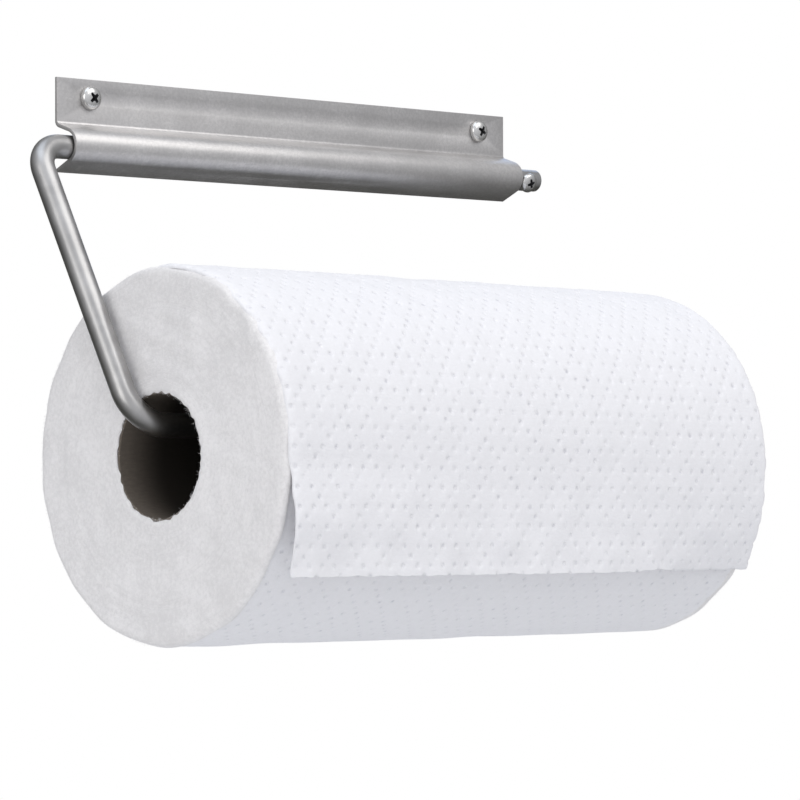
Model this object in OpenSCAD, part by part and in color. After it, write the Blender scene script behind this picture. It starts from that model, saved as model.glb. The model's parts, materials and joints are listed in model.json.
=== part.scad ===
// Wall-mounted swing-arm paper towel holder, shown with a roll on it.
// Frame: +X along the bracket to its right end, +Y into the wall, +Z up.
// Origin: middle of the two wall screws, in the bracket's back face (Y = 0 is the wall).
// All lengths are in millimetres and all angles in degrees.

/* [Bracket] */
// Length of the bracket along the wall
bracket_len = 254; // [200:1:320]
// Thickness of the bracket's sheet
sheet_t = 1.5; // [1:0.1:2.5]
// Height of the flange's top edge above the screw line
flange_above = 7.5; // [6.5:0.5:20]
// Height from the screw line down to the rod's axis
rod_below = 20.5; // [18:0.5:40]
// Play between the rod and the channel's rounded nose, beyond the clearance where the rod bears
nose_play = 0.75; // [0.2:0.05:3]
// Slope of the channel's top, from level
top_slope = 18; // [5:1:35]
// Slope of the channel's return towards the wall, from level
return_slope = 25; // [10:1:38]
// Middle radius of the bend between flange and channel
flange_bend_r = 2.2; // [1.6:0.1:4]
// Gap between the rod and the wall
rod_wall_gap = 1.8; // [0.6:0.1:6]

/* [Wall screws] */
// Distance from each end of the bracket to its wall screw
screw_inset = 16.5; // [9:0.5:40]
// Shank diameter of a wall screw
screw_d = 4.8; // [3:0.1:6]
// Head diameter of a wall screw
screw_head_d = 9.4; // [7:0.1:11.5]
// Head height of a wall screw
screw_head_h = 3.3; // [2:0.1:4.5]
// Undercut of the smooth neck under a wall screw's head, on the radius
screw_undercut = 0.25; // [0.05:0.05:0.4]
// Length of a wall screw under its head
screw_len = 16; // [14:1:60]
// Clearance between a screw's shank and its hole, on the radius
screw_clear = 0.3; // [0.1:0.05:0.5]

/* [Rod] */
// Diameter of the rod
rod_d = 9.5; // [8:0.1:10.2]
// Clearance between the rod and the channel
rod_clear = 0.2; // [0.1:0.05:0.4]
// Centre-line radius of the bend at the top of the arm
upper_bend_r = 12; // [10.5:0.5:16]
// Centre-line radius of the bend at the foot of the arm
lower_bend_r = 15; // [13:0.5:18]
// Length of the arm between the axes of the upper and lower legs
arm_len = 124.5; // [105:0.5:180]
// Gap along X between the arm's axis and the bracket's left end
arm_gap = 15.5; // [14:0.5:25]
// How far the upper leg stands out of the channel's right end
rod_stub = 15.5; // [13:0.5:25]
// Chamfer on the rod's two cut ends
rod_chamfer = 1.3; // [0.5:0.1:2]
// How far the lower leg runs past the roll's right face
leg_past = 6; // [2:1:20]

/* [Retaining screw] */
// Head diameter of the retaining screw
keeper_head_d = 8.6; // [6:0.1:9.5]
// Head height of the retaining screw
keeper_head_h = 2.8; // [2:0.1:3.5]
// Shank diameter of the retaining screw
keeper_d = 4.1; // [3:0.1:4.6]
// Clearance between the retaining screw's shank and the cross hole, on the radius
keeper_clear = 0.1; // [0.05:0.05:0.2]
// Gap between the retaining screw's head and the channel's end
keeper_gap = 0.8; // [0.5:0.1:3]
// How far the retaining screw's head points below level, with the arm at rest
keeper_tilt = 17; // [0:1:60]

/* [Roll] */
// Width of the roll
roll_w = 270; // [200:1:300]
// Diameter of the full roll
roll_d = 144; // [110:1:160]
// Inner diameter of the cardboard core
core_d = 47.4; // [42:0.1:50]
// Wall of the cardboard core
core_wall = 1; // [0.6:0.1:2]
// Radius of the roll's soft rim at both faces
rim_r = 3; // [1:0.5:6]
// Gap between the arm's flank and the roll's left face
roll_side_gap = 1.3; // [1.3:0.1:3]
// Gap between the rod and the core where the core rests on it
core_rest_gap = 0.35; // [0.3:0.05:0.6]
// Gap between the roll and the wall that it leans on
wall_gap = 0.5; // [0.3:0.1:2]

/* [Loose sheet] */
// Thickness of the loose sheet, with its embossing
sheet_paper_t = 1; // [0.8:0.1:1.5]
// Gap between the loose sheet and the roll under it
sheet_paper_gap = 0.1; // [0.05:0.05:0.5]
// Length that hangs below the line where the sheet leaves the roll
sheet_hang = 46; // [20:1:55]
// Angle of the roll that the loose sheet still covers, back from where it leaves
sheet_wrap = 100; // [30:5:120]
// Inset of the loose sheet's edges from the roll's faces
sheet_inset = 1; // [0.5:0.5:6]

/* [Hidden] */

fine = 96;      // facets of a large circle
small = 48;     // facets of a small circle
eps = 0.02;     // overlap that makes a union or a cut clean
end_gap = 0.8;  // gap between the return's end and the wall

rod_r = rod_d / 2;
bracket_end = bracket_len / 2;

// Rod's axis in the channel, in the Y-Z plane.
pivot_y = -(rod_r + rod_wall_gap);
pivot_z = -rod_below;

// Channel section. Headings are angles in the Y-Z plane, from +Y towards +Z.
nose_r = rod_r + rod_clear + nose_play;
nose_mid_r = nose_r + sheet_t / 2;
rest_dir = 270 - return_slope;
nose_y = pivot_y - nose_play * cos(rest_dir);
nose_z = pivot_z - nose_play * sin(rest_dir);
top_heading = 180 + top_slope;
top_normal_y = cos(top_heading + 90);
top_normal_z = sin(top_heading + 90);
flange_mid_y = -sheet_t / 2;
bend_y = flange_mid_y - flange_bend_r;
bend_z = (nose_y * top_normal_y + nose_z * top_normal_z - nose_mid_r - flange_bend_r
          - bend_y * top_normal_y) / top_normal_z;
top_len = (bend_y - nose_y) * cos(top_slope)
          + (bend_z - nose_z) * sin(top_slope);
return_start_y = nose_y + nose_mid_r * cos(rest_dir);
return_len = (-return_start_y - end_gap) / cos(return_slope);

// Arm, roll and core. Distances along the arm are counted from the rod's axis in the channel.
arm_x = -bracket_end - arm_gap;
roll_r = roll_d / 2;
core_r = core_d / 2;
core_out_r = core_r + core_wall;
// The core's upper left rim rests on the inside of the arm's lower bend, this far above the leg's axis.
bend_inner_r = lower_bend_r - rod_r;
rim_from_bend = bend_inner_r - roll_side_gap;
rim_rest = lower_bend_r - sqrt(bend_inner_r * bend_inner_r - rim_from_bend * rim_from_bend);
rim_along = arm_len - rim_rest - core_rest_gap;
// Its right end rests on the leg itself, so the roll tips down to the right.
roll_tip = asin((rim_rest - rod_r) / roll_w);
// The loaded arm swings in until the roll's left end leans on the wall.
hang_len = rim_along + core_r * cos(roll_tip);
arm_angle = asin((roll_r + wall_gap + pivot_y) / hang_len);
leg_len = roll_side_gap + roll_w + leg_past - bend_inner_r;

keeper_x = bracket_end + keeper_gap + keeper_head_d / 2;
screw_x = bracket_end - screw_inset;
screw_hole_r = screw_d / 2 + screw_clear;

steel = "silver";
bright = "gainsboro";

// A pie-shaped cutter from angle a0 to a1, up to 150 degrees apart, that holds a circle of radius r.
module wedge(r, a0, a1) {
    mid = (a0 + a1) / 2;
    reach = 1.5 * r;
    apex = 4 * r;
    polygon([
        [0, 0],
        [reach * cos(a0), reach * sin(a0)],
        [apex * cos(mid), apex * sin(mid)],
        [reach * cos(a1), reach * sin(a1)]
    ]);
}

// A bent stretch of sheet about (y, z), from angle a0 to a1.
module bent(y, z, mid_r, a0, a1)
    translate([y, z])
        intersection() {
            difference() {
                circle(r = mid_r + sheet_t / 2, $fn = fine);
                circle(r = mid_r - sheet_t / 2, $fn = fine);
            }
            wedge(mid_r + sheet_t, a0, a1);
        }

// A flat stretch of sheet whose middle line starts at (y, z) and runs along a heading.
module flat(y, z, heading, length)
    translate([y, z])
        rotate(heading)
            translate([-eps, -sheet_t / 2])
                square([length + 2 * eps, sheet_t]);

// The bracket's section in the Y-Z plane, drawn as X-Y.
module bracket_section() {
    translate([-sheet_t, bend_z - eps])
        square([sheet_t, flange_above - bend_z + eps]);
    bent(bend_y, bend_z, flange_bend_r, top_slope - 90, 0);
    flat(bend_y + flange_bend_r * top_normal_y, bend_z + flange_bend_r * top_normal_z,
         top_heading, top_len);
    bent(nose_y, nose_z, nose_mid_r, top_heading - 90, rest_dir);
    flat(return_start_y, nose_z + nose_mid_r * sin(rest_dir), -return_slope, return_len);
}

// Turns a section drawn in X-Y into a bar along X, centred on X = 0.
module along_x(length)
    translate([-length / 2, 0, 0])
        rotate([90, 0, 90])
            linear_extrude(height = length)
                children();

module mounting_bracket()
    color(steel)
        difference() {
            along_x(bracket_len)
                bracket_section();
            for (side = [-1, 1])
                translate([side * screw_x, eps, 0])
                    rotate([90, 0, 0])
                        cylinder(r = screw_hole_r, h = sheet_t + 2 * eps, $fn = small);
        }

// A pan head standing on Z = 0, with a cross recess in its top.
module pan_head(d, h) {
    edge_r = h * 0.45;
    recess_w = d * 0.13;
    recess_l = d * 0.56;
    recess_h = h * 0.55;
    difference() {
        union() {
            cylinder(d = d, h = h - edge_r, $fn = small);
            translate([0, 0, h - edge_r])
                rotate_extrude($fn = small)
                    intersection() {
                        union() {
                            translate([d / 2 - edge_r, 0])
                                circle(r = edge_r, $fn = small);
                            square([d / 2 - edge_r, edge_r]);
                        }
                        square([d / 2, edge_r]);
                    }
        }
        for (turn = [45, 135])
            rotate(turn)
                translate([-recess_l / 2, -recess_w / 2, h - recess_h])
                    cube([recess_l, recess_w, recess_h + 1]);
        translate([0, 0, h - recess_h - recess_w])
            cylinder(d1 = recess_w, d2 = 2 * recess_w, h = recess_h + recess_w + 1, $fn = small);
    }
}

// A wall screw along Y: head in front of the flange, smooth neck through it, shank and point in the wall.
module wall_screw(x) {
    shank_r = screw_d / 2;
    point_len = screw_d * 1.2;
    tip_r = 0.3;
    translate([x, -sheet_t, 0]) {
        rotate([90, 0, 0])
            pan_head(screw_head_d, screw_head_h);
        rotate([-90, 0, 0]) {
            translate([0, 0, -eps])
                cylinder(r = shank_r - screw_undercut, h = sheet_t + 2 * eps, $fn = small);
            translate([0, 0, sheet_t])
                cylinder(r = shank_r, h = screw_len - sheet_t - point_len, $fn = small);
            translate([0, 0, screw_len - point_len])
                cylinder(r1 = shank_r, r2 = tip_r, h = point_len, $fn = small);
        }
    }
}

module left_wall_screw() color(bright) wall_screw(-screw_x);
module right_wall_screw() color(bright) wall_screw(screw_x);

// A straight stretch of rod along +Z with a chamfered far end.
module cut_rod(length) {
    cylinder(r = rod_r, h = length - rod_chamfer, $fn = small);
    translate([0, 0, length - rod_chamfer])
        cylinder(r1 = rod_r, r2 = rod_r - rod_chamfer, h = rod_chamfer, $fn = small);
}

// A bend of the rod about the Z axis, in the X-Y plane, from 0 to angle.
module rod_bend(bend_r, angle)
    rotate_extrude(angle = angle, $fn = fine)
        translate([bend_r, 0])
            circle(r = rod_r, $fn = small);

// Places children in the arm's frame: the origin is where the rod's axis meets the arm's, +X is
// along the upper leg and the arm hangs along -Z, swung out to its resting angle.
module arm_frame()
    translate([arm_x, pivot_y, pivot_z])
        rotate([-arm_angle, 0, 0])
            children();

module hanger_rod()
    color(steel)
        difference() {
            arm_frame() {
                translate([upper_bend_r, 0, 0])
                    rotate([0, 90, 0])
                        cut_rod(bracket_end + rod_stub - arm_x - upper_bend_r);
                translate([upper_bend_r, 0, -upper_bend_r])
                    rotate([90, 0, 0])
                        rotate(90)
                            rod_bend(upper_bend_r, 90);
                translate([0, 0, lower_bend_r - arm_len])
                    cylinder(r = rod_r, h = arm_len - upper_bend_r - lower_bend_r, $fn = small);
                translate([lower_bend_r, 0, lower_bend_r - arm_len])
                    rotate([90, 0, 0])
                        rotate(180)
                            rod_bend(lower_bend_r, 90);
                translate([lower_bend_r, 0, -arm_len])
                    rotate([0, 90, 0])
                        cut_rod(leg_len);
            }
            keeper_frame()
                translate([0, 0, -rod_d])
                    cylinder(d = keeper_d + 2 * keeper_clear, h = 2 * rod_d, $fn = small);
        }

// Places children at the retaining screw: the origin is on the rod's axis, +Z towards its head.
module keeper_frame()
    translate([keeper_x, pivot_y, pivot_z])
        rotate([90 + keeper_tilt, 0, 0])
            children();

module retaining_screw()
    color(bright)
        keeper_frame() {
            translate([0, 0, rod_r + keeper_clear])
                pan_head(keeper_head_d, keeper_head_h);
            translate([0, 0, -rod_r])
                cylinder(d = keeper_d, h = rod_d + keeper_clear + eps, $fn = small);
        }

// Places children on the roll's axis, from its left face: +Z runs along the roll to its right face,
// and a section drawn in X-Y stands upright, with +X towards the wall.
module roll_frame()
    arm_frame()
        translate([rod_r + roll_side_gap, 0, -rim_along])
            rotate([0, roll_tip, 0])
                translate([0, 0, -core_r])
                    rotate([arm_angle, 0, 0])
                        rotate([90, 0, 90])
                            children();

module cardboard_core()
    color("peru")
        roll_frame()
            difference() {
                cylinder(r = core_out_r, h = roll_w, $fn = fine);
                translate([0, 0, -1])
                    cylinder(r = core_r, h = roll_w + 2, $fn = fine);
            }

module towel_roll() {
    bore_r = core_out_r + 0.1;
    color("white")
        roll_frame()
            rotate_extrude($fn = fine) {
                translate([bore_r, 0])
                    square([roll_r - rim_r - bore_r, roll_w]);
                translate([bore_r, rim_r])
                    square([roll_r - bore_r, roll_w - 2 * rim_r]);
                for (z = [rim_r, roll_w - rim_r])
                    translate([roll_r - rim_r, z])
                        circle(r = rim_r, $fn = small);
            }
}

// The loose sheet follows the roll to its front, then hangs straight down.
module loose_sheet() {
    under_r = roll_r + sheet_paper_gap;
    color("whitesmoke")
        roll_frame()
            translate([0, 0, sheet_inset])
                linear_extrude(height = roll_w - 2 * sheet_inset) {
                    intersection() {
                        difference() {
                            circle(r = under_r + sheet_paper_t, $fn = fine);
                            circle(r = under_r, $fn = fine);
                        }
                        wedge(under_r + sheet_paper_t, 180 - sheet_wrap, 180);
                    }
                    translate([-under_r - sheet_paper_t, -sheet_hang])
                        square([sheet_paper_t, sheet_hang]);
                }
}

mounting_bracket();
left_wall_screw();
right_wall_screw();
hanger_rod();
retaining_screw();
cardboard_core();
towel_roll();
loose_sheet();
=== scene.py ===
"""Swing-arm paper towel holder: detailed pieces and finishes built around its packed CAD frame."""

import json
import math

import bmesh
import bpy
import numpy as np
from bpy.props import FloatProperty, FloatVectorProperty, IntProperty, PointerProperty
from mathutils import Matrix, Vector


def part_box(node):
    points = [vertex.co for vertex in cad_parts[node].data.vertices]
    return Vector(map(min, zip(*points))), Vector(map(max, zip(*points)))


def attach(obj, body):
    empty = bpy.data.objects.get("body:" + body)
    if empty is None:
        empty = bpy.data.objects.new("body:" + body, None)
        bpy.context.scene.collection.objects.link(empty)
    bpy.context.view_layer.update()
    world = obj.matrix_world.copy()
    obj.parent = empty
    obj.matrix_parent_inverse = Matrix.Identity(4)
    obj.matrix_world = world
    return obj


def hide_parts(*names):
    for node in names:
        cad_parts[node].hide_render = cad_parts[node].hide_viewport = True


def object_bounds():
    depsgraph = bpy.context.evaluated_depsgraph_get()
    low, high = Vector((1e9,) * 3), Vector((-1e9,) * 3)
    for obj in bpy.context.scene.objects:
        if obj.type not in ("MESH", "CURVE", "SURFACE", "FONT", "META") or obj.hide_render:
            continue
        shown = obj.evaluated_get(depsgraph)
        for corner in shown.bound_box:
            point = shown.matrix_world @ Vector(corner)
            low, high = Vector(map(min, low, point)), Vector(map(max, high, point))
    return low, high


bl_info = {
    "name": "Paper towel holder",
    "version": (1, 0, 0),
    "blender": (4, 5, 0),
    "location": "View3D > Sidebar > Towel holder",
    "description": "Builds a wall-mounted swing-arm paper towel holder with its roll",
    "category": "Object",
}

MM = 0.001
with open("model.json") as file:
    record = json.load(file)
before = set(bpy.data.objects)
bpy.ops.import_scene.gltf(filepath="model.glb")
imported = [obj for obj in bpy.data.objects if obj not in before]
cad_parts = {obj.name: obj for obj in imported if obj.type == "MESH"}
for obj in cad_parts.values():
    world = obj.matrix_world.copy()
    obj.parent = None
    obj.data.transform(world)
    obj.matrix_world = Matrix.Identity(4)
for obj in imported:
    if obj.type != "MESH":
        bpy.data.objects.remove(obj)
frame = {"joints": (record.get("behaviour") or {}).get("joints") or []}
CAD_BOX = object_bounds()
JOINTS = {joint["name"]: joint for joint in frame["joints"]}

# Axes and places that every piece shares, all taken from the frame.
PIVOT = Vector(JOINTS["rod_swing"]["pos_m"])
LEG = Vector(JOINTS["roll_hang"]["pos_m"])
ROLL_MIDDLE = Vector(JOINTS["roll_spin"]["pos_m"])
ROLL_AXIS = Vector(JOINTS["roll_spin"]["axis"]).normalized()
ARM = LEG - PIVOT
ARM.x = 0


# ---------------------------------------------------------------- sizes and colours


def length(name, text, default, low=0.0, high=1.0):
    return FloatProperty(name=name, description=text, default=default, min=low, max=high,
                         subtype="DISTANCE", unit="LENGTH", precision=5)


def colour(name, text, default):
    return FloatVectorProperty(name=name, description=text, default=default, size=3,
                               min=0, max=1, subtype="COLOR")


class BracketSizes(bpy.types.PropertyGroup):
    """Sizes of the folded bracket."""

    sheet: length("Sheet", "Thickness of the sheet steel", 1.5 * MM)
    above: length("Flange", "Height of the flange above the screw line", 7.5 * MM)
    nose: length("Nose", "Inner radius of the channel's nose", 5.7 * MM)
    nose_play: length("Play", "Play between the rod and the nose", 0.75 * MM)
    fold: length("Fold", "Middle radius of the fold under the flange", 2.2 * MM)
    top_slope: FloatProperty(name="Top slope", description="Fall of the channel's top from level",
                             default=math.radians(18), subtype="ANGLE", unit="ROTATION")
    return_slope: FloatProperty(name="Return slope", description="Rise of the return to the wall",
                                default=math.radians(25), subtype="ANGLE", unit="ROTATION")
    end_gap: length("End gap", "Gap between the return and the wall", 0.8 * MM)
    edge: length("Edge", "Rounding of the sheared edges", 0.16 * MM)
    hole: length("Hole", "Radius of a screw hole", 2.7 * MM)
    screw_x: length("Screw place", "Distance of a wall screw from the middle", 110.5 * MM)


class RodSizes(bpy.types.PropertyGroup):
    """Sizes of the bent rod and its retaining screw."""

    radius: length("Radius", "Radius of the rod", 4.75 * MM)
    upper_bend: length("Upper bend", "Centre-line radius of the bend by the bracket", 12 * MM)
    lower_bend: length("Lower bend", "Centre-line radius of the bend by the roll", 15 * MM)
    chamfer: length("Chamfer", "Chamfer of the cut ends", 1.3 * MM)
    leg_past: length("Leg", "How far the lower leg runs past the roll", 6 * MM)
    keeper_x: length("Retaining screw", "Place of the retaining screw along the rod", 132.1 * MM)
    keeper_tilt: FloatProperty(name="Screw tilt", description="Fall of the retaining screw's head",
                               default=math.radians(17), subtype="ANGLE", unit="ROTATION")


class RollSizes(bpy.types.PropertyGroup):
    """Sizes of the roll and its loose sheet."""

    width: length("Width", "Width of the roll", 270 * MM)
    radius: length("Radius", "Radius of the full roll", 72 * MM)
    core: length("Core", "Inner radius of the cardboard core", 23.7 * MM)
    core_wall: length("Core wall", "Wall of the cardboard core", 1 * MM)
    rim: length("Rim", "Radius of the soft rim", 3 * MM)
    dot_across: length("Dots across", "Step between embossed dots along the roll", 3.4 * MM)
    dots_round: IntProperty(name="Dots round", description="Rows of dots round the roll",
                            default=124, min=16, max=400)
    dot_depth: length("Dot depth", "Depth of an embossed dot", 0.56 * MM)
    dot_radius: length("Dot radius", "Radius of an embossed dot", 1.05 * MM)
    hang: length("Hang", "Length of sheet that hangs free", 44 * MM)
    wrap: FloatProperty(name="Wrap", description="Angle of the roll under the loose sheet",
                        default=math.radians(100), subtype="ANGLE", unit="ROTATION")
    inset: length("Inset", "Inset of the sheet from the roll's faces", 1 * MM)
    paper: length("Paper", "Thickness of the loose sheet", 0.5 * MM)
    seed: IntProperty(name="Seed", description="Seed of the paper's unevenness", default=7)


class FinishColours(bpy.types.PropertyGroup):
    """Colours of the finishes."""

    bracket: colour("Bracket", "Satin sheet steel", (0.675, 0.660, 0.650))
    rod: colour("Rod", "Smooth drawn steel", (0.46, 0.455, 0.448))
    screw: colour("Screws", "Bright screw steel", (0.68, 0.675, 0.66))
    paper: colour("Paper", "White paper", (0.925, 0.92, 0.937))
    # Painted shade: a darker paper colour laid into the embossed dots.
    paper_shade: colour("Paper dots", "Paper in the embossed dots", (0.66, 0.66, 0.70))
    end: colour("Roll end", "Cut edges of the wound paper", (0.880, 0.864, 0.858))
    card: colour("Card", "Grey-brown core board", (0.17, 0.145, 0.12))
    floor: colour("Floor", "Pale floor", (0.86, 0.86, 0.86))


# ---------------------------------------------------------------- shader helpers


class Wire:
    """A shader socket that can be used in Python expressions."""

    def __init__(self, tree, socket):
        self.tree, self.socket = tree, socket

    def _maths(self, operation, *values):
        return self.tree.node("ShaderNodeMath", {"operation": operation}, *values)

    def __add__(self, other):
        return self._maths("ADD", self, other)

    def __sub__(self, other):
        return self._maths("SUBTRACT", self, other)

    def __rsub__(self, other):
        return self._maths("SUBTRACT", other, self)

    def __mul__(self, other):
        return self._maths("MULTIPLY", self, other)

    __radd__, __rmul__ = __add__, __mul__

    def round(self):
        return self._maths("ROUND", self)

    def odd(self):
        return self._maths("PINGPONG", self, 1)

    def least(self, other):
        return self._maths("MINIMUM", self, other)


class ShaderTree:
    """A shader node tree, built node by node."""

    def __init__(self, tree):
        self.nodes, self.links = tree.nodes, tree.links

    def node(self, kind, settings=None, *values, output=0, **named):
        node = self.nodes.new(kind)
        for key, value in (settings or {}).items():
            if key == "stops":
                for stop, (place, shade) in zip(node.color_ramp.elements, value):
                    stop.position, stop.color = place, (*shade, 1)
            else:
                setattr(node, key, value)
        for key, value in [*enumerate(values), *named.items()]:
            self.give(node.inputs[key.replace("_", " ") if isinstance(key, str) else key], value)
        return None if output is None else Wire(self, node.outputs[output])

    def give(self, socket, value):
        """Links a wire to the socket, or sets its value; a colour may leave out its alpha."""
        if isinstance(value, Wire):
            self.links.new(value.socket, socket)
        elif socket.type == "RGBA" and len(value) == 3:
            socket.default_value = (*value, 1)
        else:
            socket.default_value = value

    def place(self, source="Object"):
        return self.node("ShaderNodeTexCoord", output=source)

    def apart(self, vector):
        """The first two parts of a vector."""
        split = self.nodes.new("ShaderNodeSeparateXYZ")
        self.give(split.inputs[0], vector)
        return Wire(self, split.outputs[0]), Wire(self, split.outputs[1])


class Finish(ShaderTree):
    """One material with a Principled shader. Noise scales count waves to the metre."""

    def __init__(self, name, **fixed):
        self.material = bpy.data.materials.new(name)
        self.material.use_nodes = True
        super().__init__(self.material.node_tree)
        self.shader = next(n for n in self.nodes if n.type == "BSDF_PRINCIPLED")
        self.feed(**fixed)

    def stretch(self, vector, scale):
        return self.node("ShaderNodeMapping", None, Vector=vector, Scale=scale)

    def noise(self, vector, scale, detail=3.0, rough=0.5):
        return self.node("ShaderNodeTexNoise", None, Vector=vector, Scale=scale, Detail=detail,
                         Roughness=rough)

    def range(self, value, low, high, out_low, out_high):
        return self.node("ShaderNodeMapRange", {"interpolation_type": "SMOOTHSTEP"}, value, low,
                         high, out_low, out_high)

    def mix(self, factor, first, second):
        node = self.nodes.new("ShaderNodeMix")
        node.data_type = "RGBA"
        for index, value in ((0, factor), (6, first), (7, second)):
            self.give(node.inputs[index], value)
        return Wire(self, node.outputs[2])

    def bump(self, height, strength, distance, below=None):
        extra = {"Normal": below} if below else {}
        return self.node("ShaderNodeBump", None, Strength=strength, Distance=distance,
                         Height=height, **extra)

    def feed(self, **values):
        for socket, value in values.items():
            self.give(self.shader.inputs[socket.replace("_", " ")], value)
        return self.material


def scaled(shade, factor):
    """A lighter or darker colour."""
    return tuple(min(1.0, channel * factor) for channel in shade)


def satin_steel(shade):
    """Sheet steel, rolled along its length, with a faint mottle and fine scratches."""
    f = Finish("satin_sheet_steel", Metallic=1.0, Anisotropic=0.35)
    place = f.place()
    grain = f.noise(f.stretch(place, (60, 1400, 1400)), 1.0, 4, 0.6)
    mottle = f.noise(place, 55, 5, 0.65)
    cloud = f.noise(place, 14, 2, 0.5)
    scratch = f.range(f.noise(f.stretch(place, (240, 60, 900)), 1.0, 2, 0.4), 0.62, 0.72, 0, 1)
    tone = f.mix(f.range(mottle * 0.6 + cloud * 0.4, 0.36, 0.64, 0, 1),
                 scaled(shade, 0.94), scaled(shade, 1.05))
    speckle = f.noise(place, 760, 3, 0.7)
    tone = f.mix(f.range(speckle, 0.40, 0.60, 0.5, 0), tone, scaled(shade, 0.82))
    tone = f.mix(scratch * 0.30, tone, scaled(shade, 1.25))
    rough = 0.34 + 0.14 * mottle + 0.10 * grain
    below = f.bump(mottle, 0.12, 0.0004)
    return f.feed(Base_Color=tone, Roughness=rough,
                  Normal=f.bump(grain + speckle * 0.6, 0.14, 0.00010, below))


def drawn_steel(shade):
    """Round rod, smooth, with a very fine turned grain and light handling marks."""
    f = Finish("smooth_rod_steel", Metallic=1.0)
    place = f.place()
    haze = f.noise(place, 90, 4, 0.6)
    grain = f.noise(place, 900, 3, 0.7)
    tone = f.mix(f.range(haze, 0.35, 0.68, 0, 1), scaled(shade, 0.9), scaled(shade, 1.08))
    rough = 0.31 + 0.12 * haze
    return f.feed(Base_Color=tone, Roughness=rough,
                  Normal=f.bump(grain + haze, 0.08, 0.00006))


def recess_shadow():
    """Painted shadow: near-black, dull steel for the faces down in a driver recess, where shade
    falls.
    """
    return Finish("recess_painted_shadow", Base_Color=(0.045, 0.045, 0.048), Metallic=0.6,
                  Roughness=0.55).material


def bright_steel(shade):
    """Bright screw heads with fine turning marks, and painted shade darkening the colour in the
    recesses.
    """
    f = Finish("bright_screw_steel", Metallic=1.0)
    place = f.place()
    film = f.noise(place, 420, 3, 0.6)
    recess_shade_mask = f.node("ShaderNodeNewGeometry", output="Pointiness")
    # Painted shade: the colour darkens where Pointiness shows a hollow, as shade in a recess would
    # fall.
    tone = f.mix(f.range(recess_shade_mask, 0.40, 0.5, 0, 1), scaled(shade, 0.45), shade)
    return f.feed(Base_Color=tone, Roughness=0.17 + 0.14 * film,
                  Normal=f.bump(film, 0.08, 0.00005))


DOT_TIGHTNESS = 0.72  # one over the square of a dot's radius in millimetres


def dots(f, across, along):
    """The embossed dots on a diamond grid: 1 in the middle of a dot, 0 between them."""
    place = f.place("UV")
    u, v = f.apart(place)
    u, v = u * (1 / across), v * (1 / along)
    i, j = (u + v) * 0.5, (u - v) * 0.5
    whole_i, whole_j = i.round(), j.round()
    di, dj = i - whole_i, j - whole_j
    x, y = (di + dj) * (across / MM), (di - dj) * (along / MM)
    near = 1 - ((x * x + y * y) * DOT_TIGHTNESS).least(1.0)
    return place, near * (1 - whole_i.odd() * whole_j.odd())


def towel_paper(shade, dark, across, along):
    """Soft two-ply paper, embossed with dots on a diamond grid; the dots are painted darker as
    painted shade in the dimples.
    """
    f = Finish("embossed_paper", Roughness=0.92, Specular_IOR_Level=0.25, Sheen_Weight=0.15,
               Sheen_Roughness=0.6)
    place, dot = dots(f, across, along)
    in_space = f.place()
    fibre = f.noise(f.stretch(place, (1.0, 0.7, 1)), 1900, 4, 0.75)
    crepe = f.noise(f.stretch(place, (420, 1300, 1)), 1.0, 3, 0.6)
    cloud = f.noise(in_space, 26, 3, 0.5)
    # Random patches that weaken the dots, both their painted shade and their bump.
    dot_strength = f.range(f.noise(place, 230, 2, 0.5), 0.34, 0.62, 0.2, 1.0)
    fluff = f.noise(place, 620, 4, 0.7)
    dot = dot * dot_strength
    # Painted shade: the dots are mixed towards the darker dot colour.
    tone = f.mix(dot + crepe * 0.10, shade, dark)
    tone = f.mix(f.range(fluff, 0.42, 0.62, 0, 1), scaled(shade, 0.965), tone)
    tone = f.mix(f.range(cloud, 0.35, 0.7, 0, 0.35), tone, scaled(shade, 0.975))
    below = f.bump(dot, 0.7, -0.00034)
    return f.feed(Base_Color=tone,
                  Normal=f.bump(fibre * 0.4 + crepe + fluff * 1.6, 0.45, 0.00026, below))


def wound_edges(shade):
    """The cut edges of the wound layers: fine uneven rings in soft fibrous paper."""
    f = Finish("wound_paper_edges", Roughness=0.95, Specular_IOR_Level=0.2, Sheen_Weight=0.2,
               Sheen_Roughness=0.6)
    place = f.place("UV")
    in_space = f.place()
    rings = f.noise(f.stretch(place, (1500, 9, 1)), 1.0, 3, 0.6)
    broad = f.noise(f.stretch(place, (240, 5, 1)), 1.0, 2, 0.5)
    fluff = f.noise(in_space, 620, 5, 0.72)
    cloud = f.noise(in_space, 34, 4, 0.6)
    tone = f.mix(f.range(fluff * 0.6 + cloud * 0.4, 0.38, 0.62, 0, 1),
                 scaled(shade, 0.93), scaled(shade, 1.06))
    tone = f.mix(f.range(rings, 0.5, 0.75, 0, 0.35), tone, scaled(shade, 0.86))
    return f.feed(Base_Color=tone,
                  Normal=f.bump(fluff, 0.55, 0.0005,
                                f.bump(rings + broad, 0.30, 0.00035)))


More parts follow.
